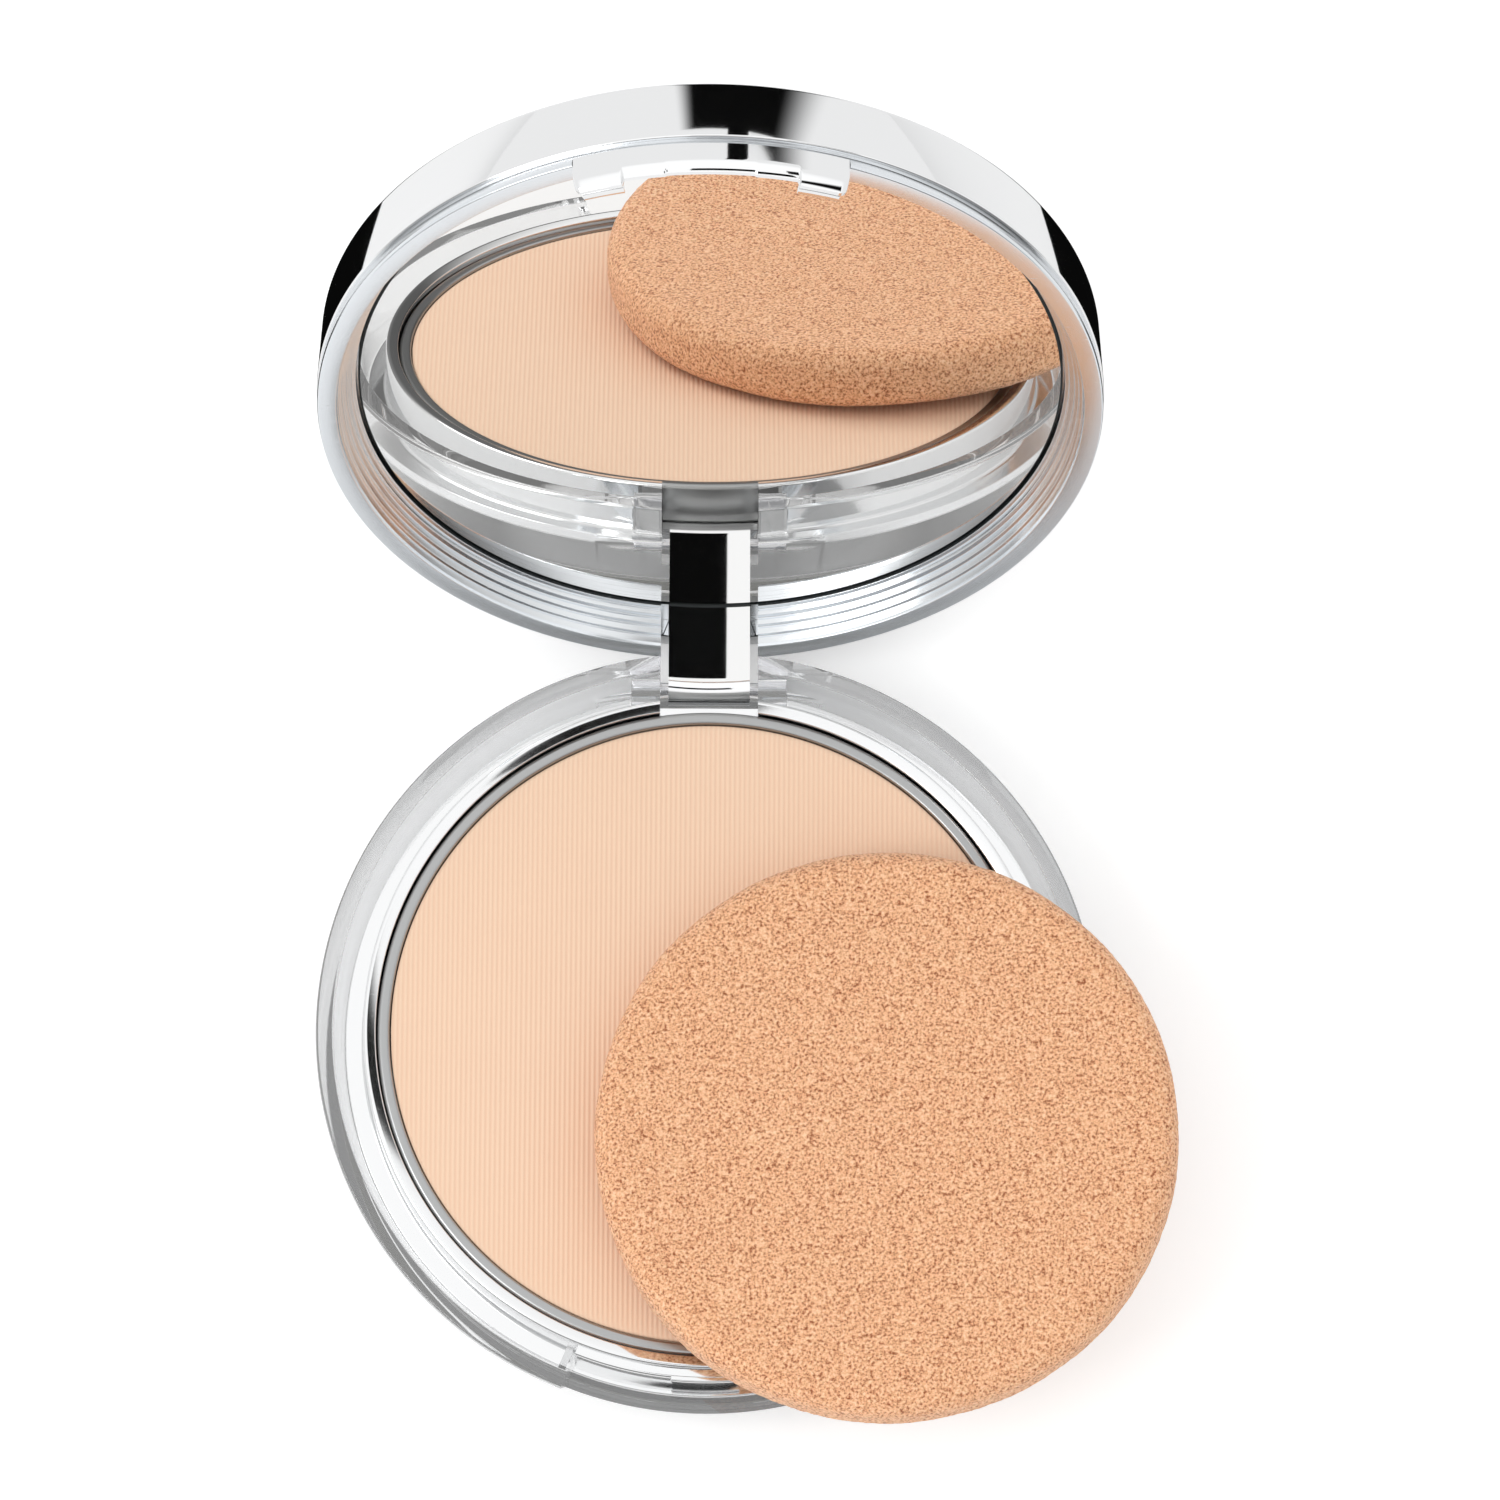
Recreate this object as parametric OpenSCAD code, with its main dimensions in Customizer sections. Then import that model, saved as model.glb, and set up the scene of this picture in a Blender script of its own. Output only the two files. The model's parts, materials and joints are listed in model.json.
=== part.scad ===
/* [Compact] */
// Outer radius of the base at its rim
base_r = 38.0; // [36:0.5:40]
// Height from the table to the parting plane between base and lid
base_h = 12.8; // [12:0.1:14]
// Outer radius of the lid at its lower edge
lid_r = 37.7; // [36.5:0.1:38]
// Height of the closed lid above the parting plane
lid_h = 9.0; // [8.6:0.1:10]
// Gap between the closed lid and the rim of the base
parting_gap = 0.1; // [0.05:0.01:0.3]

/* [Hinge] */
// How far the lid stands open, from closed
open_angle = 113.5; // [95:0.5:114]
// Distance from the middle of the base to the pin
pin_y = 35.6; // [35.4:0.1:35.8]
// Depth of the pin below the parting plane
pin_drop = 5.25; // [5:0.05:5.5]
// Radius of the steel pin
pin_r = 0.6; // [0.5:0.05:0.7]
// Length of the steel pin
pin_length = 15.2; // [12:0.2:18]
// Width of the slot for the hinge arm
slot_w = 9.6; // [9:0.1:11]
// Width of the hinge arm
arm_w = 8.0; // [7:0.1:8.4]

/* [Base inside] */
// Depth of the moat floor below the parting plane
moat_depth = 4.7; // [4:0.1:5]
// Outer radius of the wall that holds the pan
tray_wall_r = 33.4; // [33.2:0.1:33.6]
// Radius of the well for the pan
well_r = 32.15; // [32.1:0.05:32.3]
// Half angle of the notch for the latch tab
notch_half_angle = 21.5; // [21:0.5:25]

/* [Powder] */
// Outer radius of the aluminium pan
pan_r = 32.05; // [31.5:0.05:32.1]
// Radius of the pressed powder
cake_r = 30.7; // [29:0.1:31]
// Depth of the powder surface below the parting plane
cake_drop = 0.8; // [0.6:0.05:1]

/* [Lid inside] */
// Radius of the mirror
mirror_r = 33.85; // [33:0.05:33.9]
// Height of the mirror face above the parting plane
mirror_z = 4.0; // [3.9:0.05:4.2]
// Thickness of the mirror glass
mirror_t = 1.2; // [1:0.1:1.3]
// Half angle of the latch tab
tab_half_angle = 20.0; // [18:0.5:20]

/* [Sponge] */
// Radius of the foam disc
sponge_r = 28.2; // [26:0.1:29]
// Thickness of the foam once the lid has pressed it
sponge_t = 4.3; // [3.5:0.1:4.4]
// Turn from its place in the closed compact to where it leans
sponge_turn = 16.5; // [0:0.5:16.5]

/* [Hidden] */
$fn = 180;
small = 0.01;
far = 60;

// Colours
clear_acrylic = [0.93, 0.95, 0.96, 0.35];
silver_plastic = [0.86, 0.87, 0.88];
chrome_plastic = [0.75, 0.76, 0.78];

// Base: heights in this file are above the parting plane until stand() lifts the part
bottom_z = -base_h;
floor_t = 3.0;                      // clear floor under the tray
case_floor_z = bottom_z + floor_t;
bottom_flat_r = base_r - 7;
moat_z = -moat_depth;
flange_t = 1.0;
moat_outer_r = base_r - 2.7;        // foot of the inner wall of the case
flange_r = moat_outer_r - 0.05;
ledge_r = moat_outer_r - 1.1;
notch_z = -5.0;                     // top of the case wall in the front notch
notch_rib_t = 0.7;
notch_rib_h = moat_depth - 0.48;
wall_bite_r = base_r - 1.5;         // ribs and bosses end inside the wall of the case
catch_wall_r = tray_wall_r + 1.0;
catch_ridge_r = tray_wall_r + 1.3;
catch_ridge_angle = 5.5;
bead_top = 0.05;
well_floor_z = -5.05;
tray_floor_t = 1.0;
support_r = 21;
support_t = 1.0;
label_r = 19;
label_t = 0.15;

// Pan and powder
pan_top_z = -0.6;
pan_bottom_z = -4.9;
pan_floor_t = 0.5;
pan_inner_r = cake_r + 0.02;
cake_bottom_z = pan_bottom_z + pan_floor_t;
adhesive_r = 27;

// Hinge
pin_z = -pin_drop;
arm_bore_r = pin_r + 0.05;          // running fit on the pin
arm_t = 3.3;
arm_face_y = pin_y - arm_t / 2;
arm_top_z = lid_h - 1.0;
arm_upper_t = 2.0;                  // inside the shell, above the lid's rim
arm_hollow = 0.5;                   // more than the depth of the hollow in its inner face
stop_gap = 0.1;
boss_w = 2.8;
boss_t = 2.2;
boss_top_z = -0.6;
boss_gap = 0.05;                    // between the bosses and the tray
rim_roll_r = pin_drop - 0.05;       // rim of the base rounded about the pin, so the lid rolls over it
rim_roll_half_w = 15;

// Lid
shell_edge_z = 1.86;
shell_top_r = lid_r - 0.27;
shell_wall = 1.0;
shell_roof = 1.0;
rim_inner_r = lid_r - 2.0;
rim_face_z = parting_gap;
frame_fit_r = shell_top_r - shell_wall;
frame_plate_z = mirror_z + mirror_t + 0.2;
frame_plate_t = 1.0;
mirror_well_r = mirror_r + 0.2;
mirror_pad_r = 30;
tab_top_z = 1.07;
tab_inner_r = lid_r - 1.25;
tab_edge_r = lid_r - 0.7;
tab_edge_z = -2.1;
hook_h = 0.75;
hook_inner_r = lid_r - 2.1;
hook_angle = 16;
hook_half_angle = 3.2;
middle_half_angle = 6.5;
detent_inner_r = catch_ridge_r + 0.35;

// Sponge: a tilted axis behind the compact on the right carries it from the well to where it leans
sponge_axis = [-0.195, -0.134, 0.9716];
sponge_pivot = [46.4, 53.6, 18.0];
sponge_gap = 0.2;
sponge_edge = 2.0;

// Moves a part from the parting plane to the table
module stand() {
    translate([0, 0, base_h]) children();
}

// Swings a closed lid part open about the pin
module swing_open() {
    translate([0, pin_y, pin_z])
        rotate([-open_angle, 0, 0])
            translate([0, -pin_y, -pin_z])
                children();
}

// A wedge round the vertical axis, centred on the front, from half_angle to each side
module front_wedge(half_angle, z0, z1) {
    translate([0, 0, z0])
        rotate([0, 0, -90 - half_angle])
            rotate_extrude(angle = 2 * half_angle)
                square([far, z1 - z0]);
}

// An arc of a ring centred on the front
module front_arc(r0, r1, z0, z1, half_angle) {
    rotate([0, 0, -90 - half_angle])
        rotate_extrude(angle = 2 * half_angle)
            translate([r0, z0])
                square([r1 - r0, z1 - z0]);
}

module ring(r0, r1, z0, z1) {
    translate([0, 0, z0])
        difference() {
            cylinder(r = r1, h = z1 - z0);
            if (r0 > 0) translate([0, 0, -1]) cylinder(r = r0, h = z1 - z0 + 2);
        }
}

// A rod along X at the hinge pin
module pin_rod(r, length) {
    translate([-length / 2, pin_y, pin_z])
        rotate([0, 90, 0])
            cylinder(r = r, h = length, $fn = 48);
}

// The gap in the base in which the hinge arm swings, with its stop face
module hinge_slot(inner_y) {
    translate([-slot_w / 2, inner_y, pin_z - arm_t / 2 - 0.35])
        cube([slot_w, far, far]);
    translate([0, pin_y, pin_z])
        rotate([90 - open_angle, 0, 0])
            translate([-slot_w / 2, 0, -arm_t / 2 - stop_gap])
                cube([slot_w, far, arm_t]);
}

// Outside of the clear bowl
module case_outline() {
    polygon([[0, bottom_z], [bottom_flat_r, bottom_z], [base_r - 5.2, bottom_z + 0.35],
             [base_r - 3.6, bottom_z + 1.1], [base_r - 2.6, bottom_z + 2.3], [base_r - 1.7, -8],
             [base_r - 0.8, -5], [base_r - 0.1, -1.2], [base_r, -0.35], [base_r - 0.1, -0.1],
             [base_r - 0.35, 0], [0, 0]]);
}

// Inside of the clear bowl: floor, ledge for the tray's flange and sloping moat wall
module case_hollow() {
    polygon([[-small, case_floor_z], [ledge_r - 0.6, case_floor_z], [ledge_r, case_floor_z + 0.8],
             [ledge_r, moat_z - flange_t], [moat_outer_r, moat_z - flange_t], [moat_outer_r, moat_z],
             [base_r - 1.95, -0.3], [base_r - 1.7, 0], [base_r - 1.7, 1], [-small, 1]]);
}

module base_case() {
    color(clear_acrylic) stand() difference() {
        union() {
            difference() {
                rotate_extrude() case_outline();
                rotate_extrude() intersection() {
                    case_hollow();
                    translate([0, -far]) square([far, 2 * far]);
                }
            }
            // bosses beside the hinge slot, standing in the moat
            for (side = [-1, 1])
                intersection() {
                    translate([side * (slot_w + boss_w) / 2 - boss_w / 2, tray_wall_r + 3 * boss_gap, -far])
                        cube([boss_w, boss_t, far + boss_top_z]);
                    ring(tray_wall_r + 2 * boss_gap, wall_bite_r, moat_z - flange_t - 0.2, 0);
                }
            // ribs across the moat at the ends of the notch
            for (side = [-1, 1])
                rotate([0, 0, side * (notch_half_angle + 1)])
                    translate([-notch_rib_t / 2, -wall_bite_r, moat_z + 0.08])
                        cube([notch_rib_t, wall_bite_r - tray_wall_r - 0.05, notch_rib_h]);
        }
        hinge_slot(0);
        pin_rod(pin_r, far);
        // notch for the latch tab
        intersection() {
            front_wedge(notch_half_angle, notch_z, 1);
            ring(tray_wall_r + 0.3, base_r + 1, notch_z, 1);
        }
        // rim rolled about the pin
        difference() {
            translate([-rim_roll_half_w, pin_y, pin_z + 3])
                cube([2 * rim_roll_half_w, 5, 5]);
            pin_rod(rim_roll_r, far);
        }
        // seat of the label
        translate([0, 0, bottom_z - small]) cylinder(r = label_r, h = label_t + small);
    }
}

module inner_tray() {
    color(silver_plastic) stand() difference() {
        union() {
            rotate_extrude()
                polygon([[0, well_floor_z - tray_floor_t], [ledge_r - 0.1, well_floor_z - tray_floor_t],
                         [ledge_r - 0.1, moat_z - flange_t], [flange_r, moat_z - flange_t],
                         [flange_r, moat_z], [tray_wall_r, moat_z], [tray_wall_r, -0.35],
                         [tray_wall_r - 0.12, -0.02], [tray_wall_r - 0.4, bead_top],
                         [tray_wall_r - 0.8, bead_top], [well_r + 0.1, -0.05], [well_r, -0.4],
                         [well_r, well_floor_z], [0, well_floor_z]]);
            front_arc(tray_wall_r - 0.1, catch_wall_r, moat_z - 0.1, -0.5, notch_half_angle);
            front_arc(catch_wall_r - 0.1, catch_ridge_r, -1.1, -0.5, catch_ridge_angle);
            ring(support_r - support_t, support_r, case_floor_z, well_floor_z);
        }
        // the hinge slot runs on through the wall of the tray
        translate([-slot_w / 2, well_r - 2, moat_z]) cube([slot_w, 5, 6]);
        // room for the bosses of the case in the flange
        translate([-slot_w / 2 - boss_w - boss_gap, tray_wall_r + boss_gap, pin_z - 3])
            cube([slot_w + 2 * (boss_w + boss_gap), 5, 9]);
    }
}

module powder_pan() {
    color([0.72, 0.74, 0.76]) stand() rotate_extrude()
        polygon([[0, pan_bottom_z], [pan_r - 0.4, pan_bottom_z], [pan_r, pan_bottom_z + 0.4],
                 [pan_r, pan_top_z - 0.25], [pan_r - 0.25, pan_top_z], [cake_r + 0.2, pan_top_z],
                 [pan_inner_r, pan_top_z - 0.2], [pan_inner_r, cake_bottom_z], [0, cake_bottom_z]]);
}

module pan_adhesive() {
    color([0.9, 0.88, 0.8]) stand() translate([0, 0, well_floor_z])
        cylinder(r = adhesive_r, h = pan_bottom_z - well_floor_z);
}

module powder_cake() {
    color([0.96, 0.83, 0.71]) stand() translate([0, 0, cake_bottom_z])
        cylinder(r = cake_r, h = -cake_drop - cake_bottom_z);
}

module hinge_pin() {
    color([0.8, 0.8, 0.82]) stand() pin_rod(pin_r, pin_length);
}

module base_label() {
    color([0.95, 0.95, 0.95]) stand() translate([0, 0, bottom_z])
        cylinder(r = label_r, h = label_t);
}

module lid_shell() {
    roof_z = lid_h - shell_roof;
    color(chrome_plastic) stand() swing_open() rotate_extrude()
        polygon([[0, roof_z], [frame_fit_r, roof_z], [frame_fit_r, shell_edge_z],
                 [lid_r - 0.1, shell_edge_z], [lid_r + 0.05, shell_edge_z + 0.15],
                 [shell_top_r, lid_h - 0.6], [shell_top_r - 0.18, lid_h - 0.18],
                 [shell_top_r - 0.6, lid_h], [0, lid_h]]);
}

module lid_frame() {
    plate_top = frame_plate_z + frame_plate_t;
    color(silver_plastic) stand() swing_open() difference() {
        union() {
            rotate_extrude()
                polygon([[0, frame_plate_z], [mirror_well_r, frame_plate_z],
                         [mirror_well_r, mirror_z - 0.25], [mirror_well_r + 0.2, mirror_z - 0.6],
                         [mirror_well_r + 0.45, 2.95], [rim_inner_r - 0.65, 2.8], [rim_inner_r - 0.45, 2.4],
                         [rim_inner_r, rim_face_z + 0.2], [rim_inner_r + 0.15, rim_face_z],
                         [lid_r - 0.15, rim_face_z], [lid_r - 0.03, rim_face_z + 0.12],
                         [lid_r - 0.03, rim_face_z + 0.55], [lid_r - 0.3, shell_edge_z - 0.3],
                         [lid_r - 0.3, shell_edge_z], [frame_fit_r - 0.02, shell_edge_z],
                         [frame_fit_r - 0.02, plate_top], [0, plate_top]]);
            ring(support_r - support_t, support_r, plate_top - small, lid_h - shell_roof);
        }
        // pocket of the latch tab
        front_arc(tab_inner_r, far, -1, tab_top_z, tab_half_angle);
        // slot of the hinge arm
        translate([-slot_w / 2, arm_face_y - 1, -5]) cube([slot_w, 10, 5 + mirror_z]);
        difference() {
            translate([-arm_w / 2, arm_face_y - 1, 0]) cube([arm_w, 10, far]);
            cylinder(r = arm_face_y, h = far);
        }
    }
}

module mirror_glass() {
    color([0.85, 0.88, 0.9]) stand() swing_open() translate([0, 0, mirror_z])
        cylinder(r = mirror_r, h = mirror_t);
}

module mirror_adhesive() {
    color([0.3, 0.3, 0.32]) stand() swing_open() translate([0, 0, mirror_z + mirror_t])
        cylinder(r = mirror_pad_r, h = frame_plate_z - mirror_z - mirror_t);
}

module hinge_arm() {
    color(chrome_plastic) stand() swing_open() difference() {
        union() {
            translate([-arm_w / 2, pin_y, pin_z])
                rotate([0, 90, 0])
                    cylinder(r = arm_t / 2, h = arm_w, $fn = 64);
            translate([-arm_w / 2, arm_face_y - arm_hollow, pin_z])
                cube([arm_w, arm_t + arm_hollow, shell_edge_z - 0.1 - pin_z]);
            translate([-arm_w / 2, arm_face_y - arm_hollow, 0])
                cube([arm_w, arm_upper_t + arm_hollow, arm_top_z]);
        }
        pin_rod(arm_bore_r, far);
        // inner face follows the round of the mirror
        translate([0, 0, -far / 2]) cylinder(r = arm_face_y, h = far);
        // outer side follows the round of the lid
        ring(lid_r - 0.15, far, -1, 3);
    }
}

module latch_tab() {
    color(chrome_plastic) stand() swing_open() difference() {
        union() {
            rotate([0, 0, -90 - tab_half_angle])
                rotate_extrude(angle = 2 * tab_half_angle)
                    polygon([[tab_inner_r, tab_top_z], [lid_r - 0.05, tab_top_z], [lid_r - 0.05, 0],
                             [tab_edge_r, tab_edge_z], [tab_edge_r - 0.5, tab_edge_z],
                             [tab_inner_r - 0.2, -0.6], [tab_inner_r, 0]]);
            for (side = [-1, 1])
                rotate([0, 0, side * hook_angle])
                    front_arc(hook_inner_r, tab_edge_r - 0.1, tab_edge_z - hook_h, tab_edge_z + 0.2,
                              hook_half_angle);
            front_arc(detent_inner_r, tab_inner_r, tab_edge_z + 0.15, tab_edge_z + 0.75,
                      catch_ridge_angle);
        }
        // middle of the free edge set back
        front_arc(tab_inner_r - 3, far, tab_edge_z - 2, tab_edge_z + 0.12, middle_half_angle);
    }
}

// Foam disc with rounded edges, standing on z = 0
module foam_disc() {
    rotate_extrude() {
        square([sponge_r - sponge_edge, sponge_t]);
        intersection() {
            translate([sponge_r - sponge_edge, sponge_edge]) circle(r = sponge_edge, $fn = 48);
            square([far, far]);
        }
        intersection() {
            translate([sponge_r - sponge_edge, sponge_t - sponge_edge]) circle(r = sponge_edge, $fn = 48);
            square([far, far]);
        }
        translate([sponge_r - sponge_edge - small, sponge_edge])
            square([sponge_edge + small, sponge_t - 2 * sponge_edge]);
    }
}

module sponge() {
    color([0.93, 0.7, 0.5]) stand()
        translate(sponge_pivot) rotate(a = sponge_turn, v = sponge_axis) translate(-sponge_pivot)
            translate([0, 0, -cake_drop + sponge_gap]) foam_disc();
}

base_case();
inner_tray();
powder_pan();
pan_adhesive();
powder_cake();
hinge_pin();
base_label();
lid_shell();
lid_frame();
mirror_glass();
mirror_adhesive();
hinge_arm();
latch_tab();
sponge();
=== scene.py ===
"""A powder compact, open: clear bowl, silver tray, ribbed powder, chromed lid with a mirror, foam sponge.

Pieces are drawn with the compact closed, in millimetres above the parting plane. The lid's pieces and the
sponge are then turned back about their joints to where they are at rest.
"""

import json
import math

import bmesh
import bpy
import numpy as np
from mathutils import Matrix, Quaternion, Vector


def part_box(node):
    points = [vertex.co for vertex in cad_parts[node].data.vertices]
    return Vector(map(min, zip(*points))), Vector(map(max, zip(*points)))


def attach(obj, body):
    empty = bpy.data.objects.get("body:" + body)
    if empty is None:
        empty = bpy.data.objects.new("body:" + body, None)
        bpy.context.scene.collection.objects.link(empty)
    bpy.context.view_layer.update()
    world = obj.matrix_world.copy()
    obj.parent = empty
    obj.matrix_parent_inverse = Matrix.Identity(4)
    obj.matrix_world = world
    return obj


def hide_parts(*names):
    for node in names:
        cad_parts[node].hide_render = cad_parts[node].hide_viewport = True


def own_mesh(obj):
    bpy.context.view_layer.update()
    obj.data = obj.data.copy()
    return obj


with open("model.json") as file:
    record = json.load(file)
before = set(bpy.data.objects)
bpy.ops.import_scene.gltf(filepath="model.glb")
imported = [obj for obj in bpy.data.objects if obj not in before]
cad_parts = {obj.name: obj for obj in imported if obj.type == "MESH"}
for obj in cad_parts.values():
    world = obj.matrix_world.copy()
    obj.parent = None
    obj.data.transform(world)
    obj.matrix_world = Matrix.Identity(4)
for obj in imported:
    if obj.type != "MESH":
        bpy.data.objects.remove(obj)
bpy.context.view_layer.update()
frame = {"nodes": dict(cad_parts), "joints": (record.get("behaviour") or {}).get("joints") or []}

# --------------------------------------------------------------------------------------------------
# Base bowl. One clear acrylic moulding: a round bowl with a thick floor, a ledge for the tray, two bosses
# that hold the hinge pin, a slot for the hinge arm, and a low notch at the front between two ribs for the
# latch.
mm = 0.001
parting_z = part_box("base_case")[1].z
joints = {joint["name"]: joint for joint in frame["joints"]}
pin_y = joints["lid_hinge"]["pos_m"][1] / mm
pin_z = (joints["lid_hinge"]["pos_m"][2] - parting_z) / mm
pin_r, pin_play = 0.6, 0.02
open_angle = math.radians(joints["lid_hinge"]["range_deg"][1])
bowl_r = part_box("base_case")[1].x / mm
bowl_bottom_z = -parting_z / mm
rim_w = 1.75
ledge_r, ledge_z, bowl_floor_z = 34.2, -5.72, -9.8
moat_r, moat_z = 35.3, -4.7
tray_wall_r = 33.4
seat_r, seat_depth = 19, 0.15
slot_half_w, slot_play = 4.8, 0.35
arm_t = 3.3
boss_w, boss_top_z = 2.8, -0.6
notch_angle, notch_z = math.radians(21.5), -5.0
rib_half_w, rib_top_z = 0.35, -0.4
rim_roll_r = 5.2


def rounded(corners, arc_steps=6):
    """Closed outline through the corners (r, z, radius). An arc of that radius takes the place of a corner.
    It touches both sides, and its points swing evenly about a centre on the line that halves the corner."""
    outline = []
    for before, corner, after in zip(np.roll(corners, 1, 0), np.array(corners), np.roll(corners, -1, 0)):
        point, radius = corner[:2], corner[2]
        to_before, to_after = before[:2] - point, after[:2] - point
        to_before /= np.linalg.norm(to_before)
        to_after /= np.linalg.norm(to_after)
        half = math.acos(np.clip(to_before @ to_after, -1, 1)) / 2
        if radius == 0 or half > math.radians(89.5):
            outline.append(point[None])
            continue
        middle = (to_before + to_after) / np.linalg.norm(to_before + to_after)
        centre = point + middle * radius / math.sin(half)
        swing = np.linspace(-1, 1, arc_steps + 1)[:, None] * (math.pi / 2 - half)
        across = (to_after - to_before) / np.linalg.norm(to_after - to_before)
        outline.append(centre + radius * (across * np.sin(swing) - middle * np.cos(swing)))
    return np.concatenate(outline)


def piece(name, points, faces, smooth=35):
    """Mesh object from points in millimetres above the parting plane: doubles merged, faces turned outwards,
    and edges sharper than the smooth angle kept crisp."""
    mesh = bpy.data.meshes.new(name)
    placed = np.asarray(points) * mm + [0, 0, parting_z]
    mesh.from_pydata(placed.tolist(), [], [list(map(int, face)) for face in faces])
    work = bmesh.new()
    work.from_mesh(mesh)
    same_place = 0.0005 * mm
    bmesh.ops.remove_doubles(work, verts=work.verts, dist=same_place)
    bmesh.ops.dissolve_degenerate(work, edges=work.edges, dist=same_place)
    bmesh.ops.recalc_face_normals(work, faces=work.faces)
    work.to_mesh(mesh)
    work.free()
    mesh.shade_smooth()
    mesh.set_sharp_from_angle(angle=math.radians(smooth))
    made = bpy.data.objects.new(name, mesh)
    bpy.context.scene.collection.objects.link(made)
    return made


def grid_faces(rows, columns, close_rows=False, close_columns=False):
    """Quads of a grid whose point (i, j) has number i * columns + j, closed round either way if asked."""
    i, j = np.indices((rows - (not close_rows), columns - (not close_columns))).reshape(2, -1)
    i_next, j_next = (i + 1) % rows, (j + 1) % columns
    row, next_row = i * columns, i_next * columns
    return np.stack([row + j, next_row + j, next_row + j_next, row + j_next], 1)


def turned(name, outline, steps=360, smooth=35):
    """Turned body: each outline point (r, z) goes to (r sin a, -r cos a, z) for the angles a of a turn."""
    a = np.arange(steps)[:, None] * 2 * math.pi / steps
    r, z = outline[:, 0], outline[:, 1]
    points = np.stack([r * np.sin(a), -r * np.cos(a), z + 0 * a], -1).reshape(-1, 3)
    return piece(name, points, grid_faces(steps, len(outline), True, True), smooth)


def front_arc(name, outline, half_angle, steps=48):
    """Part of a turned body with flat ends, from half_angle on one side of the front to it on the other."""
    a = np.linspace(-half_angle, half_angle, steps)[:, None]
    r, z = outline[:, 0], outline[:, 1]
    points = np.stack([r * np.sin(a), -r * np.cos(a), z + 0 * a], -1).reshape(-1, 3)
    ends = [np.arange(len(outline)), np.arange(len(outline)) + (steps - 1) * len(outline)]
    return piece(name, points, [*grid_faces(steps, len(outline), False, True), *ends])


def bar(name, outline, x0, x1, columns=2):
    """Straight bar along X: the closed outline (y, z) repeated at even steps from x0 to x1, flat-ended."""
    x = np.linspace(x0, x1, columns)[:, None]
    y, z = outline[:, 0], outline[:, 1]
    points = np.stack([x + 0 * y, y + 0 * x, z + 0 * x], -1).reshape(-1, 3)
    ends = [np.arange(len(outline)), np.arange(len(outline)) + (columns - 1) * len(outline)]
    return piece(name, points, [*grid_faces(columns, len(outline), False, True), *ends])


def rectangle(y0, y1, z0, z1):
    """Outline of the four corners, going round."""
    return np.array([[y0, z0], [y1, z0], [y1, z1], [y0, z1]])


def circle(y, z, radius, steps=48):
    """Outline of points at even angles a round the centre: radius cos a across and radius sin a up."""
    a = np.arange(steps) * 2 * math.pi / steps
    return np.stack([y + radius * np.cos(a), z + radius * np.sin(a)], 1)


def turned_about_x(points, y, z, angle):
    """Outline points (y, z) turned about the point (y, z), from +Y towards +Z."""
    c, s = math.cos(angle), math.sin(angle)
    return (points - [y, z]) @ np.array([[c, s], [-s, c]]) + [y, z]


def combine(operation, target, tools):
    """Joins the tools to the target (UNION) or cuts them out of it (DIFFERENCE), and removes them."""
    for tool in tools:
        step = target.modifiers.new("step", "BOOLEAN")
        step.operation, step.solver, step.object = operation, "MANIFOLD", tool
    bpy.context.view_layer.update()
    worked = target.evaluated_get(bpy.context.evaluated_depsgraph_get())
    result = bpy.data.meshes.new_from_object(worked)
    target.modifiers.clear()
    target.data = result
    for tool in tools:
        bpy.data.objects.remove(tool)
    result.materials.clear()
    result.shade_smooth()
    result.set_sharp_from_angle(angle=math.radians(35))


def node(tree, kind, values=None, **settings):
    """Adds a shader node; its inputs, by name or number, get constants or links from other outputs."""
    made = tree.nodes.new("ShaderNode" + kind)
    for key, value in settings.items():
        setattr(made, key, value)
    for key, value in (values or {}).items():
        if isinstance(value, bpy.types.NodeSocket):
            tree.links.new(value, made.inputs[key])
        else:
            made.inputs[key].default_value = value
    return made


def finish(name, colour, **sockets):
    """Material with one Principled shader; its constants are set on the shader's own sockets."""
    material = bpy.data.materials.new(name)
    material.use_nodes = True
    shader = material.node_tree.nodes["Principled BSDF"]
    shader.inputs["Base Color"].default_value = (*colour, 1)
    for key, value in sockets.items():
        shader.inputs[key.replace("_", " ")].default_value = value
    return material, material.node_tree, shader


def emboss(tree, shader, height, strength, depth):
    """Bumps a shader's normal by a height pattern, to that depth in millimetres."""
    bump = node(tree, "Bump", {"Height": height, "Strength": strength, "Distance": depth * mm})
    tree.links.new(bump.outputs[0], shader.inputs["Normal"])


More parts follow.
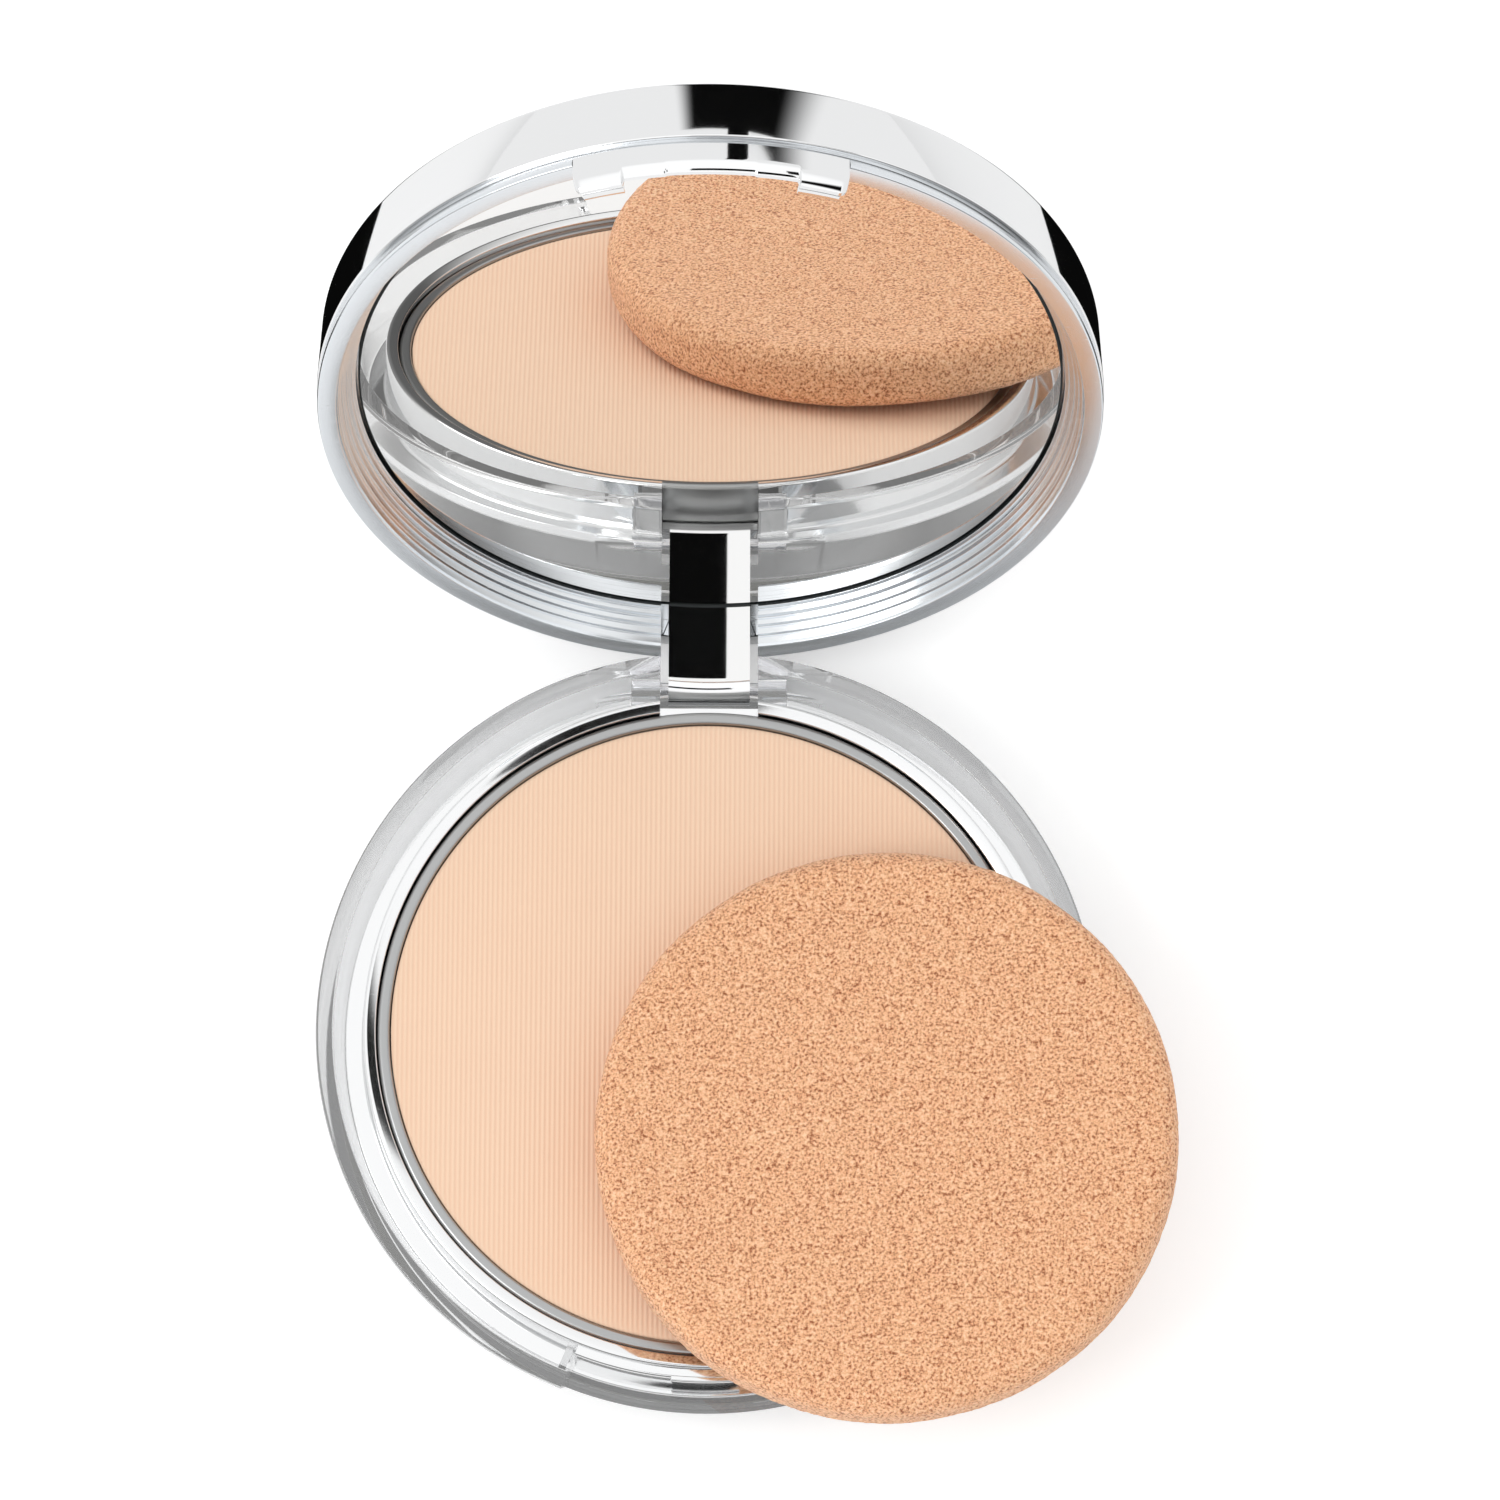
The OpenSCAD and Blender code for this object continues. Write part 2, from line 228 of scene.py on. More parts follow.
def handling_marks():
    """Shader group: cloudy wipe marks and fine hairlines on a polished surface, as roughness and height."""
    group = bpy.data.node_groups.new("handling_marks", "ShaderNodeTree")
    for way, sockets in (("INPUT", ("Roughness", "Marks")), ("OUTPUT", ("Roughness", "Height"))):
        for socket in sockets:
            group.interface.new_socket(socket, in_out=way, socket_type="NodeSocketFloat")
    entry, leave = group.nodes.new("NodeGroupInput"), group.nodes.new("NodeGroupOutput")
    place = node(group, "TexCoord").outputs["Object"]
    clouds = node(group, "TexNoise", {"Vector": place, "Scale": 180, "Detail": 3})
    stretched = node(group, "Mapping", {"Vector": place, "Rotation": (0.3, 0.2, 0.7), "Scale": (1, 14, 3)})
    hairs = node(group, "TexNoise", {"Vector": stretched.outputs[0], "Scale": 900, "Detail": 2})
    faint = node(group, "MapRange", {"Value": hairs.outputs[0], "From Min": 0.6, "From Max": 0.75})
    both = node(group, "Math", {0: clouds.outputs[0], 1: faint.outputs[0]}, operation="ADD")
    asked = entry.outputs
    marked = node(group, "Math", {0: both.outputs[0], 1: asked["Marks"], 2: asked["Roughness"]},
                  operation="MULTIPLY_ADD")
    group.links.new(marked.outputs[0], leave.inputs["Roughness"])
    group.links.new(clouds.outputs[0], leave.inputs["Height"])
    return group


marks = handling_marks()


def add_marks(tree, shader, roughness, amount, waviness=0):
    """Puts the handling marks on a shader's roughness and, if asked, a waviness on its normal."""
    placed = node(tree, "Group", node_tree=marks)
    placed.inputs["Roughness"].default_value = roughness
    placed.inputs["Marks"].default_value = amount
    tree.links.new(placed.outputs["Roughness"], shader.inputs["Roughness"])
    if waviness:
        emboss(tree, shader, placed.outputs["Height"], 1.0, waviness)


bowl = turned("bowl", rounded([
    (0, bowl_bottom_z + seat_depth, 0), (seat_r, bowl_bottom_z + seat_depth, 0), (seat_r, bowl_bottom_z, 0),
    (bowl_r - 3.0, bowl_bottom_z, 4.5), (bowl_r - 0.75, -3.5, 12), (bowl_r, -0.5, 0.5),
    (bowl_r - 0.1, 0, 0.25), (bowl_r - rim_w, 0, 0.2), (moat_r, moat_z, 0.15), (moat_r - 0.02, ledge_z, 0),
    (ledge_r, ledge_z, 0.1), (ledge_r, bowl_floor_z, 0.6), (0, bowl_floor_z, 0)], 8))
boss_back_y = math.sqrt((bowl_r - 1.5) ** 2 - (slot_half_w + boss_w) ** 2) + 0.4
boss = rectangle(tray_wall_r + 0.15, boss_back_y, ledge_z - 0.2, boss_top_z)
boss_x0, boss_x1 = 0.9 * slot_half_w, slot_half_w + boss_w
combine("UNION", bowl, [bar("boss", boss, -boss_x1, -boss_x0), bar("boss", boss, boss_x0, boss_x1)])
for side in (-1, 1):
    rib = rectangle(-bowl_r + 1.5, -tray_wall_r - 0.05, moat_z - 0.3, rib_top_z)
    rib = bar("rib", rib, -rib_half_w, rib_half_w)
    rib.data.transform(Matrix.Rotation(side * (notch_angle + math.radians(1)), 4, "Z"))
    combine("UNION", bowl, [rib])
# Behind the pin the rim is rolled off round it, so that the shell of the lid clears it as it swings.
roll = np.concatenate([turned_about_x(np.array([[pin_y + rim_roll_r, pin_z]]), pin_y, pin_z, angle)
                       for angle in np.linspace(math.pi / 2, 0.6, 24)])
# The rear wall of the slot is cut at the angle at which the open arm rests on it.
stop = turned_about_x(rectangle(pin_y, 60, pin_z - arm_t / 2 - 0.1, pin_z + arm_t / 2 - 0.1),
                      pin_y, pin_z, math.pi / 2 - open_angle)
combine("DIFFERENCE", bowl, [
    bar("slot", rectangle(0, 60, pin_z - arm_t / 2 - slot_play, 10), -slot_half_w, slot_half_w),
    bar("stop", stop, -slot_half_w, slot_half_w),
    bar("bore", circle(pin_y, pin_z, pin_r + pin_play), -20, 20),
    front_arc("notch", rectangle(tray_wall_r + 0.3, bowl_r + 1, notch_z, 2), notch_angle),
    bar("roll", np.concatenate([roll, [[45, pin_z + 3], [45, 2], [pin_y, 2]]]), -15, 15),
])
clear_acrylic, tree, shader = finish("clear_acrylic", (0.93, 0.935, 0.94), Transmission_Weight=1.0, IOR=1.49)
add_marks(tree, shader, 0.0, 0.02)
# A ray that has turned more than three times in the clear wall picks up a little light there, in place of
# the further turns that a render leaves out. Without it the rim has black patches.
trapped_turns, trapped_glow = 3.5, 0.1
turns = node(tree, "LightPath").outputs["Ray Depth"]
trapped = node(tree, "Math", {0: turns, 1: trapped_turns}, operation="GREATER_THAN")
glow = node(tree, "Math", {0: trapped.outputs[0], 1: trapped_glow}, operation="MULTIPLY")
shader.inputs["Emission Color"].default_value = (1, 1, 1, 1)
tree.links.new(glow.outputs[0], shader.inputs["Emission Strength"])
bowl.data.materials.append(clear_acrylic)
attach(bowl, "base")
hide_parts("base_case")

# --------------------------------------------------------------------------------------------------
# Blank paper label. A round white sticker, die-cut and pressed into a shallow seat under the bowl.
# Nothing is printed on it.
label_paper, tree, shader = finish("label_paper", (0.9, 0.9, 0.88), Roughness=0.7)
place = node(tree, "TexCoord").outputs["Object"]
fibres = node(tree, "TexNoise", {"Vector": place, "Scale": 1500, "Detail": 4})


def shade(tree, shader, mask, colours):
    """Base colour that runs evenly through the colours as the mask goes from 0 to 1."""
    ramp = node(tree, "ValToRGB", {"Fac": mask})
    stops = ramp.color_ramp.elements
    stops[0].color, stops[-1].color = (*colours[0], 1), (*colours[-1], 1)
    for number, colour in enumerate(colours[1:-1], 1):
        stops.new(number / (len(colours) - 1)).color = (*colour, 1)
    tree.links.new(ramp.outputs[0], shader.inputs["Base Color"])


def recoat(name, material):
    """Gives a carried-over CAD node its finish."""
    frame["nodes"][name].data.materials.clear()
    frame["nodes"][name].data.materials.append(material)


shade(tree, shader, fibres.outputs[0], [(0.84, 0.84, 0.82), (0.93, 0.93, 0.92)])
recoat("base_label", label_paper)

# --------------------------------------------------------------------------------------------------
# Inner tray. Moulded plastic, metallised silver and pushed into the bowl: a flat flange that lines the moat,
# a beaded wall round the pan, a support ring below, and a curved catch for the latch at the front.
bead_z, bead_crest_r, bead_fall = 0.05, 33.0, 0.23
well_r, well_floor_z = 32.15, -5.05
floor_under_z = well_floor_z - 1
support_r, support_foot_z = 20, bowl_floor_z + 0.02
flange_r, flange_under_z = moat_r - 0.06, ledge_z + 0.03
catch_r, catch_z = tray_wall_r + 1, -0.5
ridge_r, ridge_angle = catch_r + 0.3, math.radians(5.5)
tray = turned("tray", rounded([
    (0, floor_under_z, 0), (support_r, floor_under_z, 0), (support_r, support_foot_z, 0),
    (support_r + 1, support_foot_z, 0), (support_r + 1, floor_under_z, 0), (ledge_r - 0.1, floor_under_z, 0),
    (ledge_r - 0.1, flange_under_z, 0), (flange_r, flange_under_z, 0), (flange_r, moat_z, 0.1),
    (tray_wall_r, moat_z, 0.35), (tray_wall_r, bead_z, 0.3), (bead_crest_r, bead_z, 0.3),
    (well_r, bead_z - bead_fall, 0.15), (well_r, well_floor_z, 0.1), (0, well_floor_z, 0)], 8))
catch = front_arc("catch", rounded([
    (tray_wall_r - 0.2, moat_z - 0.2, 0), (catch_r, moat_z - 0.2, 0), (catch_r, catch_z, 0.3),
    (tray_wall_r - 0.2, catch_z, 0)]), notch_angle)
ridge = front_arc("ridge", rounded([
    (catch_r - 0.2, -1.2, 0), (ridge_r, -1.1, 0.1), (ridge_r, catch_z, 0.2),
    (catch_r - 0.2, catch_z, 0)]), ridge_angle)
combine("UNION", tray, [catch, ridge])
boss_room_x = slot_half_w + boss_w + 0.05
combine("DIFFERENCE", tray, [
    bar("slot", rectangle(well_r - 2, well_r + 3, moat_z, 5), -slot_half_w, slot_half_w),
    bar("boss_room", rectangle(tray_wall_r + 0.05, 40, pin_z - 3, 5), -boss_room_x, boss_room_x),
])
silver_plastic, tree, shader = finish("silver_plastic", (0.83, 0.835, 0.84), Metallic=1.0)
add_marks(tree, shader, 0.06, 0.06, 0.002)
tray.data.materials.append(silver_plastic)
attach(tray, "base")
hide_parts("inner_tray")

# --------------------------------------------------------------------------------------------------
# Glue disc. A flat film of cream-coloured hot-melt glue, laid on the floor of the tray while it is soft. It
# fixes the pan.
pan_glue, tree, shader = finish("pan_glue", (0.8, 0.76, 0.62), Roughness=0.5)
place = node(tree, "TexCoord").outputs["Object"]
lumps = node(tree, "TexNoise", {"Vector": place, "Scale": 260, "Detail": 2})
shade(tree, shader, lumps.outputs[0], [(0.72, 0.67, 0.52), (0.86, 0.83, 0.72)])
recoat("pan_adhesive", pan_glue)

# --------------------------------------------------------------------------------------------------
# Powder pan. Drawn aluminium, left bare: a flat floor, a straight wall and a rolled lip that shows round the
# powder as a narrow grey ring with fine turning lines.


def half_width(name):
    """Half of a CAD node's width, in millimetres."""
    low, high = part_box(name)
    return (high.x - low.x) / 2 / mm


pan_r = half_width("powder_pan")
pan_top_z, pan_bottom_z = -0.6, -4.9
cake_r, cake_top_z, cake_bottom_z = 30.7, -0.8, -4.4
pan_inner_r, pan_floor_z = cake_r + 0.12, cake_bottom_z - 0.01
pan = turned("pan", rounded([
    (0, pan_bottom_z, 0), (pan_r, pan_bottom_z, 0.5), (pan_r, pan_top_z, 0.45), (pan_inner_r, pan_top_z, 0.3),
    (pan_inner_r, pan_floor_z, 0), (0, pan_floor_z, 0)], 8))
pan_aluminium, tree, shader = finish("pan_aluminium", (0.42, 0.425, 0.425), Metallic=1.0)
place = node(tree, "TexCoord").outputs["Object"]
flat = node(tree, "VectorMath", {0: place, 1: (1, 1, 0)}, operation="MULTIPLY")
radius = node(tree, "VectorMath", {0: flat.outputs[0]}, operation="LENGTH")
lines = node(tree, "TexNoise", {"W": radius.outputs["Value"], "Scale": 14000, "Detail": 2},
             noise_dimensions="1D")
dulled = node(tree, "MapRange", {"Value": lines.outputs[0], "To Min": 0.22, "To Max": 0.4})
tree.links.new(dulled.outputs[0], shader.inputs["Roughness"])
emboss(tree, shader, lines.outputs[0], 0.4, 0.01)
pan.data.materials.append(pan_aluminium)
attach(pan, "base")
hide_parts("powder_pan")

# --------------------------------------------------------------------------------------------------
# Pressed powder. A peach cake pressed into the pan by a die with a ribbed cloth: fine straight ribs run from
# the hinge to the front, and the edge is slightly broken down.
rib_pitch, rib_depth = 0.48, 0.055
rib_fade, edge_break = 0.6, 0.18
columns, rows = 900, 36


def cake_surface():
    """Grid of even columns in X. In each, Y runs across the disc as its half chord times the sine of an angle
    from -90 to 90 degrees, and the height falls by a cosine groove, which fades out over rib_fade, and by
    edge_break times exp(-inset / edge_break), where inset is the distance to the edge. Two more points close
    the column flat below."""
    x = np.linspace(-cake_r, cake_r, columns)[:, None]
    y = np.sin(np.linspace(-math.pi / 2, math.pi / 2, rows)) * np.sqrt(np.maximum(cake_r ** 2 - x ** 2, 0))
    x = x + 0 * y
    inset = cake_r - np.hypot(x, y)
    ribs = rib_depth * (0.5 - 0.5 * np.cos(2 * math.pi * x / rib_pitch)) * np.clip(inset / rib_fade, 0, 1)
    top = np.stack([x, y, cake_top_z - ribs - edge_break * np.exp(-inset / edge_break)], -1)
    under = top[:, [-1, 0]]
    under[..., 2] = cake_bottom_z
    return np.concatenate([top, under], 1).reshape(-1, 3)


powder = piece("powder", cake_surface(), grid_faces(columns, rows + 2, False, True), 60)
pressed_powder, tree, shader = finish("pressed_powder", (0.86, 0.62, 0.44), Roughness=0.95, Sheen_Weight=0.1)
place = node(tree, "TexCoord").outputs["Object"]
grain = node(tree, "TexNoise", {"Vector": place, "Scale": 5200, "Detail": 3, "Roughness": 0.6})
patches = node(tree, "TexNoise", {"Vector": place, "Scale": 140, "Detail": 2})
# The grooves between the ribs are also coloured darker, as painted shade in them; the grain and the slow
# patches are the powder's own uneven tone.
across = node(tree, "SeparateXYZ", {0: place})
phase = node(tree, "Math", {0: across.outputs["X"], 1: 2 * math.pi / (rib_pitch * mm)}, operation="MULTIPLY")
wave = node(tree, "Math", {0: phase.outputs[0]}, operation="COSINE")
groove = node(tree, "MapRange", {"Value": wave.outputs[0], "From Min": 1.0, "From Max": -1.0})
tone = node(tree, "Math", {0: grain.outputs[0], 1: 0.35, 2: groove.outputs[0]}, operation="MULTIPLY_ADD")
tone = node(tree, "Math", {0: patches.outputs[0], 1: 0.3, 2: tone.outputs[0]}, operation="MULTIPLY_ADD")
evened = node(tree, "MapRange", {"Value": tone.outputs[0], "From Max": 1.6})
shade(tree, shader, evened.outputs[0], [(0.89, 0.66, 0.48), (0.83, 0.56, 0.4)])
emboss(tree, shader, grain.outputs[0], 0.6, 0.03)
powder.data.materials.append(pressed_powder)
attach(powder, "base")
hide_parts("powder_cake")

# --------------------------------------------------------------------------------------------------
# Hinge pin. A short steel wire with its ends rounded off, pressed into both bosses of the bowl. The arm of
# the lid turns on it.
pin_half, pin_end_r = half_width("hinge_pin"), 0.15


def pin_surface(sides=64):
    """Turned about the pin's axis: each outline point (x, r) goes to (x, pin_y + r cos a, pin_z + r sin a) for
    even angles a."""
    outline = rounded([(-pin_half, 0, 0), (-pin_half, pin_r, pin_end_r), (pin_half, pin_r, pin_end_r),
                       (pin_half, 0, 0)], 4)
    x, r = outline[:, 0], outline[:, 1]
    a = np.arange(sides)[:, None] * 2 * math.pi / sides
    points = np.stack([x + 0 * a, pin_y + r * np.cos(a), pin_z + r * np.sin(a)], -1)
    return points.reshape(-1, 3), grid_faces(sides, len(outline), True, True)


pin = piece("pin", *pin_surface())
pin_steel, tree, shader = finish("pin_steel", (0.72, 0.72, 0.74), Metallic=1.0)
add_marks(tree, shader, 0.16, 0.12)
pin.data.materials.append(pin_steel)
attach(pin, "base")
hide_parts("hinge_pin")

# --------------------------------------------------------------------------------------------------
# Lid shell. A round cap moulded in ABS and chromed, with a plain top, a nearly upright wall and a small
# radius between them. It is clipped over the frame.
shell_edge_z, lid_top_z, shell_t = 1.86, 9.0, 1
shell_edge_r, shell_top_r = 37.75, 37.43


def rest_turn(joint):
    """Matrix that carries a piece drawn with the compact closed to the rest pose: the joint's range, back."""
    pivot = Vector(joint["pos_m"])
    turn = Matrix.Rotation(-math.radians(joint["range_deg"][1]), 4, Vector(joint["axis"]))
    return Matrix.Translation(pivot) @ turn @ Matrix.Translation(-pivot)


def open_up(lid_piece):
    """Turns a piece of the closed lid open about the pin and makes it ride on the lid."""
    lid_piece.data.transform(rest_turn(joints["lid_hinge"]))
    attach(lid_piece, "lid")


shell = turned("shell", rounded([
    (0, lid_top_z - shell_t, 0), (shell_top_r - shell_t, lid_top_z - shell_t, 0.3),
    (shell_top_r - shell_t, shell_edge_z, 0), (shell_edge_r, shell_edge_z, 0.18),
    (shell_top_r, lid_top_z, 0.6), (0, lid_top_z, 0)], 8), 512)
chrome_plastic, tree, shader = finish("chrome_plastic", (0.87, 0.875, 0.88), Metallic=1.0)
add_marks(tree, shader, 0.03, 0.02)
shell.data.materials.append(chrome_plastic)
open_up(shell)
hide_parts("lid_shell")

# --------------------------------------------------------------------------------------------------
# Lid frame. Silver metallised plastic, snapped into the shell: a rounded lip, an inner wall that steps in
# over four narrow terraces, and a floor that carries the mirror. It has a pocket for the latch and a slot for
# the arm.
lid_r, lip_r, lip_z = 37.67, 35.85, 0.1
mirror_r, mirror_z, mirror_t = 33.85, 4.0, 1.2
mirror_seat_r, mirror_seat_z = mirror_r + 0.2, 5.4
frame_plate_r, frame_plate_z = 36.4, 6.4
terrace_r, terrace_z = (34.45, 34.95, 35.35, 35.7), (3.7, 2.98, 2.18, 1.28)
draft = 0.02
tab_angle, tab_top_z, tab_inner_r = math.radians(20), 1.07, 36.45
arm_half = half_width("hinge_arm")
stairs = []
for inner_r, outer_r, z in zip((mirror_seat_r - draft, *terrace_r), terrace_r, terrace_z):
    stairs += [(inner_r + draft, z + draft, 0.06), (outer_r, z, 0.1)]
frame_ring = turned("frame_ring", rounded([
    (0, mirror_seat_z, 0), (mirror_seat_r, mirror_seat_z, 0), *stairs,
    (terrace_r[-1] + draft, lip_z + 0.3, 0.1), (lip_r, lip_z, 0.08), (lid_r - 0.08, lip_z, 0.15),
    (lid_r, 0.45, 0.3), (lid_r - 0.3, 1.5, 0.15), (lid_r - 0.3, shell_edge_z - 0.01, 0),
    (frame_plate_r, shell_edge_z - 0.01, 0), (frame_plate_r, frame_plate_z, 0),
    (0, frame_plate_z, 0)], 8), 512)
combine("DIFFERENCE", frame_ring, [
    front_arc("pocket", rectangle(tab_inner_r - 0.02, 40, -1, tab_top_z + 0.02), tab_angle + 0.002),
    bar("slot", rectangle(32.9, 45, -5, mirror_z), -slot_half_w, slot_half_w),
    bar("arm_room", rectangle(33.6, 45, 0, 12), -arm_half - 0.05, arm_half + 0.05),
])
frame_silver, tree, shader = finish("frame_silver", (0.8, 0.83, 0.86), Metallic=1.0)
add_marks(tree, shader, 0.16, 0.08, 0.002)
frame_ring.data.materials.append(frame_silver)
open_up(frame_ring)
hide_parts("lid_frame")

# --------------------------------------------------------------------------------------------------
# Mirror. Round float glass, silvered, with a fine ground edge. The edge is coloured near black, so that it is
# also painted shade for the narrow gap between the mirror and the frame; it shows as a thin dark line round
# it. A disc of black double-sided tape holds it to the frame.
ground_w = 0.22
mirror = turned("mirror", rounded([
    (0, mirror_z, 0), (mirror_r - ground_w, mirror_z, 0), (mirror_r, mirror_z + 0.2, 0),
    (mirror_r, mirror_z + mirror_t, 0.1), (0, mirror_z + mirror_t, 0)]), 512, 20)
mirror_silvered, tree, shader = finish("mirror_silvered", (0.93, 0.925, 0.915), Metallic=1.0)
add_marks(tree, shader, 0.0, 0.004)
# Near black: the ground edge, and painted shade for the gap between the mirror and the frame.
ground_edge_and_gap_shade, tree, shader = finish("ground_edge_and_gap_shade", (0.03, 0.035, 0.035), Roughness=0.55)
add_marks(tree, shader, 0.5, 0.2)
mirror.data.materials.append(mirror_silvered)
mirror.data.materials.append(ground_edge_and_gap_shade)
# The faces whose centre lies past the silvered disc are the ground edge, coloured near black for the edge
# itself and as painted shade in the gap round it.
centres = np.empty(3 * len(mirror.data.polygons), "f")
mirror.data.polygons.foreach_get("center", centres)
on_edge = np.hypot(centres[0::3], centres[1::3]) > (mirror_r - ground_w + 0.005) * mm
mirror.data.polygons.foreach_set("material_index", on_edge.astype("i"))
open_up(mirror)
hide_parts("mirror_glass")
mirror_tape, tree, shader = finish("mirror_tape", (0.02, 0.02, 0.022), Roughness=0.8)
add_marks(tree, shader, 0.7, 0.2)
recoat("mirror_adhesive", mirror_tape)

# --------------------------------------------------------------------------------------------------
# Hinge arm. Moulded in one piece and chromed, it is pushed into the slot of the frame: a barrel that turns on
# the pin, a blade up the inside of the lid, and an inner face hollowed to follow the round of the mirror.
arm_face_y, arm_top_z = pin_y - arm_t / 2, 8
blade_t, shoulder_z = 2, 1.75
barrel = np.concatenate([turned_about_x(np.array([[arm_face_y, pin_z]]), pin_y, pin_z, angle)
                         for angle in np.linspace(0, math.pi, 25)])
blade_back_y = arm_face_y + blade_t
back = [[pin_y + arm_t / 2, shoulder_z - 0.05], [blade_back_y, shoulder_z], [blade_back_y, arm_top_z]]
face = np.linspace((arm_face_y, arm_top_z), (arm_face_y, pin_z + 0.3), 13)
arm = bar("arm", np.concatenate([barrel, back, face]), -arm_half, arm_half, 33)
# The face is hollowed to a circle of radius arm_face_y about the middle of the compact: each point moves in
# by that radius less its half chord at x, and the move fades out half way through the barrel.
points = np.empty(3 * len(arm.data.vertices), "f")
arm.data.vertices.foreach_get("co", points)
x, y = points[0::3] / mm, points[1::3] / mm
hollow = arm_face_y - np.sqrt(arm_face_y ** 2 - x ** 2)
points[1::3] -= hollow * np.clip(1 - 2 * (y - arm_face_y) / arm_t, 0, 1) * mm
arm.data.vertices.foreach_set("co", points)
combine("DIFFERENCE", arm, [bar("bore", circle(pin_y, pin_z, pin_r + 0.05), -10, 10)])
softened = arm.modifiers.new("softened", "BEVEL")
softened.width, softened.segments, softened.harden_normals = 0.18 * mm, 3, True
softened.limit_method, softened.angle_limit = "ANGLE", math.radians(50)
arm.data.materials.append(chrome_plastic)
open_up(arm)
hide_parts("hinge_arm")

# --------------------------------------------------------------------------------------------------
# Latch. A curved tab, moulded and chromed, clipped into the pocket of the frame: its free edge leans in, it
# is set back in the middle, and two small hooks at its ends snap under the catch of the tray.
tab_r, tab_edge_r = 37.62, 37.0
tab_edge_z, hook_z, middle_z = -2.1, -2.8, -1.98
hook_from, middle_to = math.radians(12.8), math.radians(6.5)
hook_angle, hook_half = math.radians(16), math.radians(3.1)
corner_r, edge_t, edge_roll = 0.8, 0.75, 0.04


def step(value, edge, width):
    """Smooth step from 0 to 1 as value passes edge, over that width."""
    s = np.clip((value - edge) / width + 0.5, 0, 1)
    return s * s * (3 - 2 * s)


def latch_surface(columns=320, rows=20):
    """Outer and inner skin, as rows down the tab at even angles a. The height runs evenly from the top to an
    edge that drops by smooth steps from the middle to the hooks and turns up in a quarter circle at each end.
    The radius is tab_r less a lean that comes in by a smooth step near the edge. The inner skin is further in
    by a thickness that goes evenly from the top's to the edge's, and the outer edge is rolled in by an
    exponential."""
    a = np.linspace(-tab_angle, tab_angle, columns)[:, None]
    edge_z = middle_z + (tab_edge_z - middle_z) * step(abs(a), middle_to, 0.006)
    edge_z = edge_z + (hook_z - tab_edge_z) * step(abs(a), hook_from, 0.006)
    to_end = np.clip((tab_angle - abs(a)) * tab_r, 0, corner_r)
    edge_z = edge_z + corner_r - np.sqrt(corner_r ** 2 - (corner_r - to_end) ** 2)
    down = np.concatenate([np.linspace(0, 1, rows), np.linspace(1, 0, rows)])[None]
    outer = np.arange(2 * rows)[None] < rows
    lean = (tab_r - tab_edge_r) * step(down, 0.9, 0.5)
    inner_t = (tab_r - tab_inner_r) * (1 - down) + edge_t * down - 0.25 * np.exp(-(1 - down) / 0.05)
    outer_roll = 0.12 * np.exp(-(1 - down) / edge_roll)
    r = tab_r - lean - np.where(outer, outer_roll, inner_t)
    z = tab_top_z + (edge_z - tab_top_z) * down
    points = np.stack([r * np.sin(a), -r * np.cos(a), z + 0 * r], -1)
    ends = [np.arange(2 * rows), np.arange(2 * rows) + (columns - 1) * 2 * rows]
    return points.reshape(-1, 3), [*grid_faces(columns, 2 * rows, False, True), *ends]


latch = piece("latch", *latch_surface())
for side in (-1, 1):
    hook = front_arc("hook", rounded([
        (tab_edge_r - 1.3, hook_z, 0.1), (tab_edge_r - 0.4, hook_z, 0.1),
        (tab_edge_r - 0.4, hook_z + 0.8, 0.1), (tab_edge_r - 1.1, hook_z + 0.5, 0.1)]), hook_half, 12)
    hook.data.transform(Matrix.Rotation(side * hook_angle, 4, "Z"))
    combine("UNION", latch, [hook])
latch.data.materials.append(chrome_plastic)
open_up(latch)
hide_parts("latch_tab")

# --------------------------------------------------------------------------------------------------
# Sponge. A disc punched out of open-celled latex foam, with a soft rounded edge and full of fine pores. It
# lies loose, leans half out of the well, and is pressed to two thirds of its thickness when the lid shuts on
# it.
sponge_r, sponge_t, sponge_edge_r = 28.15, 6.7, 2.3
sponge_under_z = cake_top_z + 0.12
pore_size, pore_depth = 0.42, 0.09
swell_size, swell_height = 6.0, 0.25
sectors, foam_step = 520, 0.38


def lattice_noise(points, cell, seed, cells=64):
    """Smooth noise: random values at the corners of cubes of that size, blended between them by smooth steps.
    They repeat after that many cells."""
    values = np.random.default_rng(seed).random((cells, cells, cells))
    scaled = points / cell
    corner = np.floor(scaled).astype(int)
    part = scaled - corner
    part = part * part * (3 - 2 * part)
    total = 0
    for dx in (0, 1):
        for dy in (0, 1):
            for dz in (0, 1):
                share = np.prod([part[..., axis] if d else 1 - part[..., axis]
                                 for axis, d in enumerate((dx, dy, dz))], 0)
                i, j, k = ((corner + (dx, dy, dz)) % cells).T
                total = total + share.T * values[i, j, k]
    return total.T


def spaced(outline, spacing):
    """Open outline resampled at even steps along its length."""
    along = np.concatenate([[0], np.cumsum(np.linalg.norm(np.diff(outline, axis=0), axis=1))])
    even = np.linspace(0, along[-1], int(along[-1] / spacing))
    return np.stack([np.interp(even, along, outline[:, 0]), np.interp(even, along, outline[:, 1])], 1)


